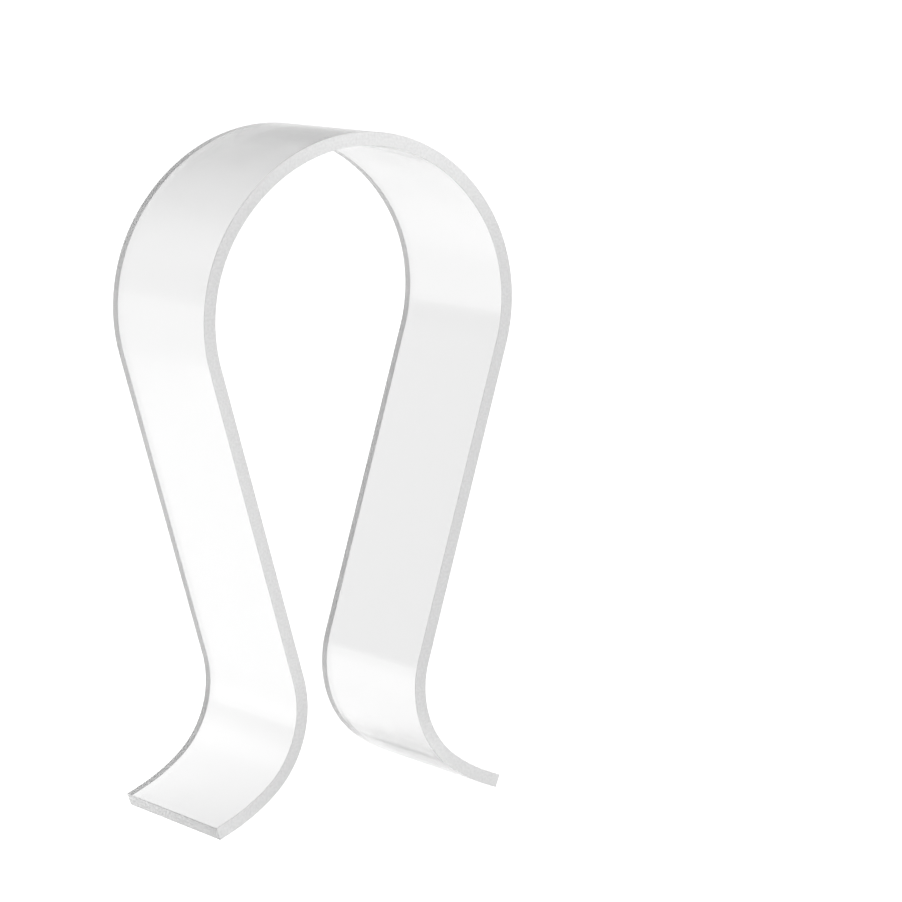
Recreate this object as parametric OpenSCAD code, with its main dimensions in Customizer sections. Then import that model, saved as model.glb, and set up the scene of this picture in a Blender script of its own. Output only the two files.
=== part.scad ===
// Headphone stand, heat-bent from one strip of clear acrylic sheet.
// The strip runs from tip to tip over the crown, and every bend's axis lies along Y.
// +X is to the right, +Y to the back and +Z up. The origin is on the desk, midway
// between the tips. All sizes are in millimetres and all angles in degrees.

/* [Sheet] */
// Thickness of the sheet
sheet_t = 5; // [3:0.5:8]
// Width of the strip, from its front edge to its back edge
sheet_w = 60; // [30:1:120]

/* [Crown] */
// Outer radius of the top arc, which carries the headband
crown_r = 71.5; // [60:0.5:95]
// Angle that the top arc covers to each side of the middle
crown_a = 55; // [20:1:75]
// Outer radius of the tighter arc at each shoulder
shoulder_r = 60; // [45:0.5:75]

/* [Legs] */
// Length of the straight stretch of each leg
leg_l = 122; // [80:1:150]
// Angle by which each leg leans in on its way down
leg_lean = 17; // [10:0.5:22]

/* [Feet] */
// Radius of the ankle bend, on the upper side of the sheet
ankle_r = 34.5; // [15:0.5:60]
// Angle that the ankle bend turns the sheet through
ankle_a = 70; // [60:0.5:74]
// Radius of the gentle curve after the ankle, on the upper side of the sheet
toe_r = 74; // [40:1:120]
// Slope of the tip, down from level
tip_slope = 21.5; // [10:0.5:25]
// Length of the straight stretch at the tip
tip_l = 5; // [2:0.5:20]

/* [Hidden] */
$fn = 360;

// Going from the crown's middle to the right-hand tip, heading is how far the strip's
// run has turned down from level. These are the headings where one stretch ends and
// the next begins.
leg_heading = 90 + leg_lean;
toe_heading = leg_heading - ankle_a;
tip_heading = tip_slope;

// Direction of the run, and the sheet's outward normal, at a heading, both as [x, z].
function run(heading) = [cos(heading), -sin(heading)];
function outward(heading) = [sin(heading), cos(heading)];

// Bend axes and stretch ends as [x, z], all on the outer side of the sheet and
// measured from the top of the crown.
crown_axis = [0, -crown_r];
shoulder_axis = crown_axis + (crown_r - shoulder_r) * outward(crown_a);
leg_top = shoulder_axis + shoulder_r * outward(leg_heading);
leg_bottom = leg_top + leg_l * run(leg_heading);
ankle_axis = leg_bottom + ankle_r * outward(leg_heading);
toe_axis = ankle_axis + (toe_r - ankle_r) * outward(toe_heading);
tip_top = toe_axis - toe_r * outward(tip_heading);
tip_end = tip_top + tip_l * run(tip_heading);

// The stand rests on the lower edge of each tip, which sets its height.
tip_low_edge = tip_end - sheet_t * outward(tip_heading);
stand_h = -tip_low_edge[1];

// Each bend is [axis, radius of the strip's outer side, first heading, last heading].
// The radius is negative where the strip curves back the other way, as at the feet.
crown = [crown_axis, crown_r, -crown_a, crown_a];
right_bends = [
    [shoulder_axis, shoulder_r, crown_a, leg_heading],
    [ankle_axis, -ankle_r, leg_heading, toe_heading],
    [toe_axis, -toe_r, toe_heading, tip_heading]
];
function axis(bend) = bend[0];
function radius(bend, depth) = bend[1] - depth;
function first(bend) = bend[2];
function last(bend) = bend[3];

// Round faces are this much too large in radius, so that they cross the flat faces that
// they run into and don't just graze them.
crossing = 0.001;

// Where the flat stretches before and after a bend would meet, at a depth below the
// strip's outer side.
function corner(bend, depth) =
    let (middle = (first(bend) + last(bend)) / 2, half = (last(bend) - first(bend)) / 2)
    axis(bend) + radius(bend, depth) / cos(half) * outward(middle);

// The right-hand half of the strip's line with sharp corners, and the whole line from
// tip to tip, both at a depth below the outer side.
function right_line(depth) = concat(
    [for (bend = right_bends) corner(bend, depth)],
    [tip_end - depth * outward(tip_heading)]
);
function mirrored(points) = [for (p = points) [-p[0], p[1]]];
function reversed(points) = [for (k = [len(points) - 1:-1:0]) points[k]];
function sharp_line(depth) = concat(
    reversed(mirrored(right_line(depth))),
    [corner(crown, depth)],
    right_line(depth)
);

// A shape drawn in X and Z, given a width along Y.
module across(width) {
    rotate([90, 0, 0])
        linear_extrude(width, center = true)
            children();
}

// The part of a bend's corner that lies outside a round bar along the bend's axis. It
// reaches out to a depth below the strip's outer side.
module corner_piece(bend, depth, bar_radius, width) {
    difference() {
        across(width)
            polygon([
                axis(bend),
                axis(bend) + radius(bend, depth) * outward(first(bend)),
                corner(bend, depth),
                axis(bend) + radius(bend, depth) * outward(last(bend))
            ]);
        across(2 * width)
            translate(axis(bend))
                circle(bar_radius + crossing);
    }
}

// Fills the sharp corner on a bend's hollow side, out to half the sheet's thickness.
module fill_in(bend) {
    hollow_r = min(abs(radius(bend, 0)), abs(radius(bend, sheet_t)));
    corner_piece(bend, sheet_t / 2, hollow_r, sheet_w);
}

// What to cut from the sharp corner on a bend's other side.
module cut_back(bend) {
    full_r = max(abs(radius(bend, 0)), abs(radius(bend, sheet_t)));
    clear_depth = radius(bend, 0) > 0 ? -sheet_t : 2 * sheet_t;
    corner_piece(bend, clear_depth, full_r, 2 * sheet_w);
}

// The whole stand is this one bent strip: flat stretches whose corners are made round.
module acrylic_band() {
    color([0.93, 0.94, 0.95, 0.45])
        translate([0, 0, stand_h])
            difference() {
                union() {
                    across(sheet_w)
                        polygon(concat(sharp_line(0), reversed(sharp_line(sheet_t))));
                    fill_in(crown);
                    for (side = [0, 1], bend = right_bends)
                        mirror([side, 0, 0])
                            fill_in(bend);
                }
                cut_back(crown);
                for (side = [0, 1], bend = right_bends)
                    mirror([side, 0, 0])
                        cut_back(bend);
            }
}

acrylic_band();
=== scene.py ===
"""Looks of the clear acrylic headphone stand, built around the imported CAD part.

The stand is one strip of acrylic sheet, bent hot. The strip is remade here as a fine mesh
with slightly rounded edges, and it stands for the CAD node acrylic_band.
The strip and the camera are given in millimetres, and the floor and the lights in metres.
Angles are in degrees.
"""

from math import ceil, cos, radians, sin

import bmesh
import bpy
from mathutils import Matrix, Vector


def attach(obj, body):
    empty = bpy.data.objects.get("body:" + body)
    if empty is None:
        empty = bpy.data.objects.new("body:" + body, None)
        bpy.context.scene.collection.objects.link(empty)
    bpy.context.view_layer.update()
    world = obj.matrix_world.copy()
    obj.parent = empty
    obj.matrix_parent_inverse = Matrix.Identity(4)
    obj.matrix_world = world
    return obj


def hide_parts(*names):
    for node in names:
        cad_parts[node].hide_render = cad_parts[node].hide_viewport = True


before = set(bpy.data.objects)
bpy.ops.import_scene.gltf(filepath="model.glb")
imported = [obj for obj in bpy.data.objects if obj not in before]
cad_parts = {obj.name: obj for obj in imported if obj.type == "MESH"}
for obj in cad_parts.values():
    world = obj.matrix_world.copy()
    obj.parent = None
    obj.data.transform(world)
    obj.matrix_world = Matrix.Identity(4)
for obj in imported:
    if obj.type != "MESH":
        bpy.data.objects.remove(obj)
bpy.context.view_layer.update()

MM = 0.001

# The strip, as it is in the CAD part.
SHEET_T = 5
SHEET_W = 60
CROWN_R = 71.5
CROWN_A = 55
SHOULDER_R = 60
LEG_L = 122
LEG_LEAN = 17
ANKLE_R = 34.5
ANKLE_A = 70
TOE_R = 74
TIP_SLOPE = 21.5
TIP_L = 5

# How finely the strip is meshed.
BEND_STEP = 1            # turn between stations along a bend
FLAT_STEP = 6            # distance between stations along a flat stretch
WIDTH_STEPS = 12         # spaces across the width of the sheet
EDGE_R = 0.25            # rounding of every edge of the sheet
EDGE_STEPS = 4           # spaces round that rounding
MERGE_DISTANCE = 1e-7    # in metres

# The acrylic. Each grain is in cells a metre and each pit depth is in metres.
ACRYLIC_IOR = 1.49
FACE_TINT = (0.78, 0.78, 0.78, 1)
FACE_GRAIN = 60
FACE_ROUGHNESS = (0.10, 0.13)
LONG_EDGE_GRAIN = 1100
LONG_EDGE_SHADES = (0.8, 0.93)
LONG_EDGE_PITS = 0.00004
TIP_GRAIN = 1500
TIP_SHADES = (0.45, 0.95)
TIP_PITS = 0.0001
EDGE_CLEARNESS = 0.38    # how much of the light passes through a cut edge
EDGE_ROUGHNESS = (0.45, 0.65)
ROUGHNESS_GRAIN = 0.4    # of a cut edge's roughness, as a share of the grain of its shades
EDGE_COAT = 0.5
EDGE_COAT_ROUGHNESS = 0.25
NOISE_DETAIL = 3
NOISE_SPAN = (0.3, 0.7)  # the part of the noise's range that is used

# The floor, a light table that glows evenly, with a painted pool of light: its glow is
# strongest round a spot behind the stand's left.
FLOOR_SIZE = 60
FLOOR_ALBEDO = 0.12
FLOOR_ROUGHNESS = 0.9
PAINTED_POOL_STRENGTH = 1.42         # strength round the spot, a painted pool of light
GLOW_FAR = 1.08          # strength away from it
PAINTED_POOL_CENTRE = (-0.17, 0.16, 0)
PAINTED_POOL_FADE = (0.14, 0.27)     # distances from the spot where the fading starts and ends

# The studio round the stand, as (height, brightness), where height is the sine of the
# elevation. It differs between two sides, and is the same on both sides overhead.
BRIGHT_SIDE = [(0.0, 1.07), (0.17, 0.85), (0.34, 0.78), (0.46, 0.6), (0.54, 0.2)]
DIM_SIDE = [(0.0, 0.6), (0.07, 0.05), (0.26, 0.05), (0.4, 0.4), (0.54, 0.4)]
OVERHEAD = [(0.70, 0.1), (0.79, 1.4)]
BRIGHT_DIRECTION = 35.5  # of the bright side's middle, anticlockwise from +X
SIDE_BLEND = 0.07        # half the width of the blend between the sides, as a sine

# The softbox in front of the stand.
SOFTBOX_LOCATION = (0.5, -1.6, 0.9)
SOFTBOX_SIZE = 1.0
SOFTBOX_POWER = 10
SOFTBOX_TARGET = (0, 0, 0.12)

# Where the camera looks from, and what it looks at.
VIEW_AZIMUTH = 35.69
VIEW_ELEVATION = 9.48
VIEW_DISTANCE = 1283.5
VIEW_TARGET = (2.75, 0, 129.87)
VIEW_LENS = 137.24
VIEW_SENSOR = 36
VIEW_SHIFT = (0.1441, 0.0067)
VIEW_CLIP_END = 200      # in metres


# ---------------------------------------------------------------- the strip's line

LEG_HEADING = 90 + LEG_LEAN
TOE_HEADING = LEG_HEADING - ANKLE_A


def run(heading):
    """Direction of the strip's run, as (x, z), where it has turned down by heading."""
    return Vector((cos(radians(heading)), -sin(radians(heading))))


def outward(heading):
    """The outer side's normal, as (x, z), at a heading."""
    return Vector((sin(radians(heading)), cos(radians(heading))))


def bend_stations(axis, radius, start, end):
    """Stations round a bend, after its first one. The radius is negative at a hollow."""
    steps = ceil(abs(end - start) / BEND_STEP)
    headings = [start + (end - start) * k / steps for k in range(1, steps + 1)]
    return [(axis + radius * outward(h), h) for h in headings]


def flat_stations(start, heading, length):
    """Stations along a flat stretch, after its first one."""
    steps = ceil(length / FLAT_STEP)
    return [(start + run(heading) * length * k / steps, heading)
            for k in range(1, steps + 1)]


def right_half():
    """Stations from the crown's middle to the right-hand tip, without the middle itself.

    A station is a point (x, z) on the outer side, from the top of the crown, and a
    heading.
    """
    crown_axis = Vector((0, -CROWN_R))
    shoulder_axis = crown_axis + (CROWN_R - SHOULDER_R) * outward(CROWN_A)
    stations = bend_stations(crown_axis, CROWN_R, 0, CROWN_A)
    stations += bend_stations(shoulder_axis, SHOULDER_R, CROWN_A, LEG_HEADING)
    stations += flat_stations(stations[-1][0], LEG_HEADING, LEG_L)
    ankle_axis = stations[-1][0] + ANKLE_R * outward(LEG_HEADING)
    stations += bend_stations(ankle_axis, -ANKLE_R, LEG_HEADING, TOE_HEADING)
    toe_axis = ankle_axis + (TOE_R - ANKLE_R) * outward(TOE_HEADING)
    stations += bend_stations(toe_axis, -TOE_R, TOE_HEADING, TIP_SLOPE)
    stations += flat_stations(stations[-1][0], TIP_SLOPE, TIP_L - EDGE_R)
    return stations


def whole_line():
    """Stations from the left-hand tip over the crown to the right-hand one."""
    right = right_half()
    left = [(Vector((-p.x, p.y)), -h) for p, h in reversed(right)]
    return left + [(Vector((0, 0)), 0)] + right


# ---------------------------------------------------------------- the strip's mesh

ROUND_ANGLES = [radians(90 * k / EDGE_STEPS) for k in range(EDGE_STEPS + 1)]


def section(inset):
    """Points (y, height above the sheet's middle) round the section, inset all round.

    They go from the back over the top to the front, and back again underneath.
    """
    half_w = SHEET_W / 2 - EDGE_R
    half_t = SHEET_T / 2 - EDGE_R
    radius = EDGE_R - inset
    quarter = [(radius * cos(a), radius * sin(a)) for a in ROUND_ANGLES]
    across = [half_w * (1 - 2 * k / WIDTH_STEPS) for k in range(1, WIDTH_STEPS)]
    top = [(half_w + y, half_t + t) for y, t in quarter]
    top += [(y, half_t + radius) for y in across]
    top += [(-half_w - y, half_t + t) for y, t in reversed(quarter)]
    return top + [(-y, -t) for y, t in top]


def sections():
    """The sections from tip to tip, as (point, heading, inset). At both ends of the line
    they are inset more and more, which rounds the tips."""
    line = whole_line()
    first_end, last_end = [], []
    for a in ROUND_ANGLES[1:]:
        push, inset = EDGE_R * sin(a), EDGE_R * (1 - cos(a))
        p, h = line[0]
        first_end.insert(0, (p - run(h) * push, h, inset))
        p, h = line[-1]
        last_end.append((p + run(h) * push, h, inset))
    return first_end + [(p, h, 0) for p, h in line] + last_end


FACE, LONG_EDGE, TIP = 0, 1, 2    # the material slots, in their order on the mesh


def build_band():
    """The strip as one closed mesh, standing on the lower edges of its two tips."""
    points = []
    for point, heading, inset in sections():
        middle = point - outward(heading) * SHEET_T / 2
        for y, t in section(inset):
            p = middle + outward(heading) * t
            points.append(Vector((p.x, y, p.y)))
    floor_z = min(p.z for p in points)
    count = len(section(0))
    rows = len(points) // count
    on_top = range(EDGE_STEPS, EDGE_STEPS + WIDTH_STEPS)    # the spaces of the flat top

    bm = bmesh.new()
    verts = [bm.verts.new((p.x * MM, p.y * MM, (p.z - floor_z) * MM)) for p in points]
    for r in range(rows - 1):
        at_tip = not EDGE_STEPS <= r < rows - 1 - EDGE_STEPS
        for k in range(count):
            a, b = r * count + k, r * count + (k + 1) % count
            face = bm.faces.new((verts[a], verts[b], verts[b + count], verts[a + count]))
            on_face = k % (count // 2) in on_top
            face.material_index = TIP if at_tip else FACE if on_face else LONG_EDGE
    for start in (0, len(verts) - count):
        for k in on_top:
            under = count - 1 - k    # the point straight under point k
            corners = (k, k + 1, under - 1, under)
            face = bm.faces.new([verts[start + c] for c in corners])
            face.material_index = TIP
    for face in bm.faces:
        face.smooth = True
    bmesh.ops.remove_doubles(bm, verts=bm.verts, dist=MERGE_DISTANCE)
    bmesh.ops.recalc_face_normals(bm, faces=bm.faces)
    mesh = bpy.data.meshes.new("band")
    bm.to_mesh(mesh)
    bm.free()
    return mesh


# ---------------------------------------------------------------- materials

def grey(value):
    """A colour with this value in all its channels."""
    return (value, value, value, 1)


class Material:
    """A node material being built, with its main shader."""

    def __init__(self, name):
        self.data = bpy.data.materials.new(name)
        self.data.use_nodes = True
        self.shader = self.data.node_tree.nodes["Principled BSDF"]

    def set(self, socket, value):
        self.shader.inputs[socket].default_value = value

    def node(self, kind, **inputs):
        made = self.data.node_tree.nodes.new("ShaderNode" + kind)
        for name, value in inputs.items():
            made.inputs[name.replace("_", " ")].default_value = value
        return made

    def link(self, output, target):
        self.data.node_tree.links.new(output, target)

    def drive(self, socket, output):
        """Gives the shader's socket its value from a node's output."""
        self.link(output, self.shader.inputs[socket])

    def noise(self, grain):
        """Noise over the object's own coordinates."""
        coordinates = self.node("TexCoord")
        noise = self.node("TexNoise", Scale=grain, Detail=NOISE_DETAIL)
        self.link(coordinates.outputs["Object"], noise.inputs["Vector"])
        return noise.outputs["Fac"]

    def spread(self, value, reach, span=NOISE_SPAN):
        """The value, taken from the span to the reach."""
        ranged = self.node("MapRange", From_Min=span[0], From_Max=span[1],
                           To_Min=reach[0], To_Max=reach[1])
        self.link(value, ranged.inputs["Value"])
        return ranged.outputs["Result"]


def face_material():
    """The sheet's polished faces: nearly smooth, with slight waves from the heating."""
    face = Material("acrylic_face")
    face.set("Base Color", FACE_TINT)
    face.set("IOR", ACRYLIC_IOR)
    face.set("Transmission Weight", 1)
    face.drive("Roughness", face.spread(face.noise(FACE_GRAIN), FACE_ROUGHNESS))
    return face.data


def edge_material(name, grain, shades, pits):
    """A cut edge: sanded, so that it scatters light and looks pale grey. It is mottled
    between two shades, and pitted to a depth."""
    edge = Material(name)
    edge.set("IOR", ACRYLIC_IOR)
    edge.set("Transmission Weight", EDGE_CLEARNESS)
    edge.set("Coat Weight", EDGE_COAT)
    edge.set("Coat Roughness", EDGE_COAT_ROUGHNESS)
    edge.set("Coat IOR", ACRYLIC_IOR)
    mottle = edge.noise(grain)
    colours = edge.node("ValToRGB")
    edge.link(edge.spread(mottle, (0, 1)), colours.inputs["Fac"])
    for element, shade in zip(colours.color_ramp.elements, shades):
        element.color = grey(shade)
    edge.drive("Base Color", colours.outputs["Color"])
    unevenness = edge.noise(grain * ROUGHNESS_GRAIN)
    edge.drive("Roughness", edge.spread(unevenness, EDGE_ROUGHNESS))
    bump = edge.node("Bump", Distance=pits)
    edge.link(mottle, bump.inputs["Height"])
    edge.drive("Normal", bump.outputs["Normal"])
    return edge.data


def floor_material():
    """A light table of pale paper, lit from below, with a painted pool of light round a
    spot in its glow.
    """
    paper = Material("floor")
    paper.set("Base Color", grey(FLOOR_ALBEDO))
    paper.set("Roughness", FLOOR_ROUGHNESS)
    paper.set("Specular IOR Level", 0)
    paper.set("Emission Color", grey(1))
    coordinates = paper.node("TexCoord")
    distance = paper.node("VectorMath")
    distance.operation = "DISTANCE"
    distance.inputs[1].default_value = PAINTED_POOL_CENTRE
    paper.link(coordinates.outputs["Object"], distance.inputs[0])
    # Painted pool of light: the emission is stronger round a spot beside the stand.
    glow = paper.spread(distance.outputs["Value"], (PAINTED_POOL_STRENGTH, GLOW_FAR), PAINTED_POOL_FADE)
    paper.drive("Emission Strength", glow)
    return paper.data


# ---------------------------------------------------------------- the stand

mesh = build_band()
band = bpy.data.objects.new("acrylic_strip", mesh)
bpy.context.scene.collection.objects.link(band)
mesh.materials.append(face_material())
mesh.materials.append(edge_material(
    "acrylic_long_edge", LONG_EDGE_GRAIN, LONG_EDGE_SHADES, LONG_EDGE_PITS))
mesh.materials.append(edge_material("acrylic_tip", TIP_GRAIN, TIP_SHADES, TIP_PITS))
weighted = band.modifiers.new("face_normals", "WEIGHTED_NORMAL")
weighted.keep_sharp = False
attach(band, "root")
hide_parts("acrylic_band")


# ---------------------------------------------------------------- floor, light, camera

bpy.ops.mesh.primitive_plane_add(size=FLOOR_SIZE, location=(0, 0, 0))
floor = bpy.context.object
floor.name = "floor"
floor.data.materials.append(floor_material())


def build_world():
    """Soft studio light, which depends on the height and on the side."""
    world = bpy.data.worlds.new("studio")
    bpy.context.scene.world = world
    world.use_nodes = True
    nodes, links = world.node_tree.nodes, world.node_tree.links
    coordinates = nodes.new("ShaderNodeTexCoord")
    split = nodes.new("ShaderNodeSeparateXYZ")
    links.new(coordinates.outputs["Generated"], split.inputs[0])

    def ramp(stops):
        made = nodes.new("ShaderNodeValToRGB")
        links.new(split.outputs["Z"], made.inputs["Fac"])
        elements = made.color_ramp.elements
        while len(elements) < len(stops):
            elements.new(0.5)
        for element, (where, value) in zip(elements, stops):
            element.position = where
            element.color = grey(value)
        return made.outputs["Color"]

    bright_side = ramp(BRIGHT_SIDE + OVERHEAD)
    dim_side = ramp(DIM_SIDE + OVERHEAD)
    direction = radians(BRIGHT_DIRECTION)
    side = nodes.new("ShaderNodeVectorMath")
    side.operation = "DOT_PRODUCT"
    links.new(coordinates.outputs["Generated"], side.inputs[0])
    side.inputs[1].default_value = (cos(direction), sin(direction), 0)
    step = nodes.new("ShaderNodeMapRange")
    step.interpolation_type = "SMOOTHSTEP"
    links.new(side.outputs["Value"], step.inputs["Value"])
    step.inputs["From Min"].default_value = -SIDE_BLEND
    step.inputs["From Max"].default_value = SIDE_BLEND
    blend = nodes.new("ShaderNodeMix")
    blend.data_type = "RGBA"
    # The node has sockets of the same names for each data type. These are the colours.
    colour_a, colour_b, colour_out = blend.inputs[6], blend.inputs[7], blend.outputs[2]
    links.new(step.outputs["Result"], blend.inputs["Factor"])
    links.new(dim_side, colour_a)
    links.new(bright_side, colour_b)
    links.new(colour_out, nodes["Background"].inputs["Color"])


def add_softbox():
    """A square soft light, turned to face the stand."""
    lamp = bpy.data.lights.new("front_softbox", "AREA")
    lamp.shape = "SQUARE"
    lamp.size = SOFTBOX_SIZE
    lamp.energy = SOFTBOX_POWER
    softbox = bpy.data.objects.new("front_softbox", lamp)
    softbox.location = SOFTBOX_LOCATION
    to_stand = Vector(SOFTBOX_TARGET) - Vector(SOFTBOX_LOCATION)
    softbox.rotation_euler = to_stand.to_track_quat("-Z", "Y").to_euler()
    bpy.context.scene.collection.objects.link(softbox)


def add_camera():
    """The camera, at a distance from its target and turned to look along the view."""
    lens = bpy.data.cameras.new("camera")
    lens.sensor_width = VIEW_SENSOR
    lens.lens = VIEW_LENS
    lens.shift_x, lens.shift_y = VIEW_SHIFT
    lens.clip_end = VIEW_CLIP_END
    camera = bpy.data.objects.new("camera", lens)
    bpy.context.scene.collection.objects.link(camera)
    azimuth, elevation = radians(VIEW_AZIMUTH), radians(VIEW_ELEVATION)
    forward = Vector((sin(azimuth) * cos(elevation), cos(azimuth) * cos(elevation),
                      -sin(elevation)))
    camera.location = (Vector(VIEW_TARGET) - VIEW_DISTANCE * forward) * MM
    camera.rotation_euler = (radians(90) - elevation, 0, -azimuth)
    bpy.context.scene.camera = camera


build_world()
add_softbox()
add_camera()
bpy.context.scene.view_settings.view_transform = "Standard"
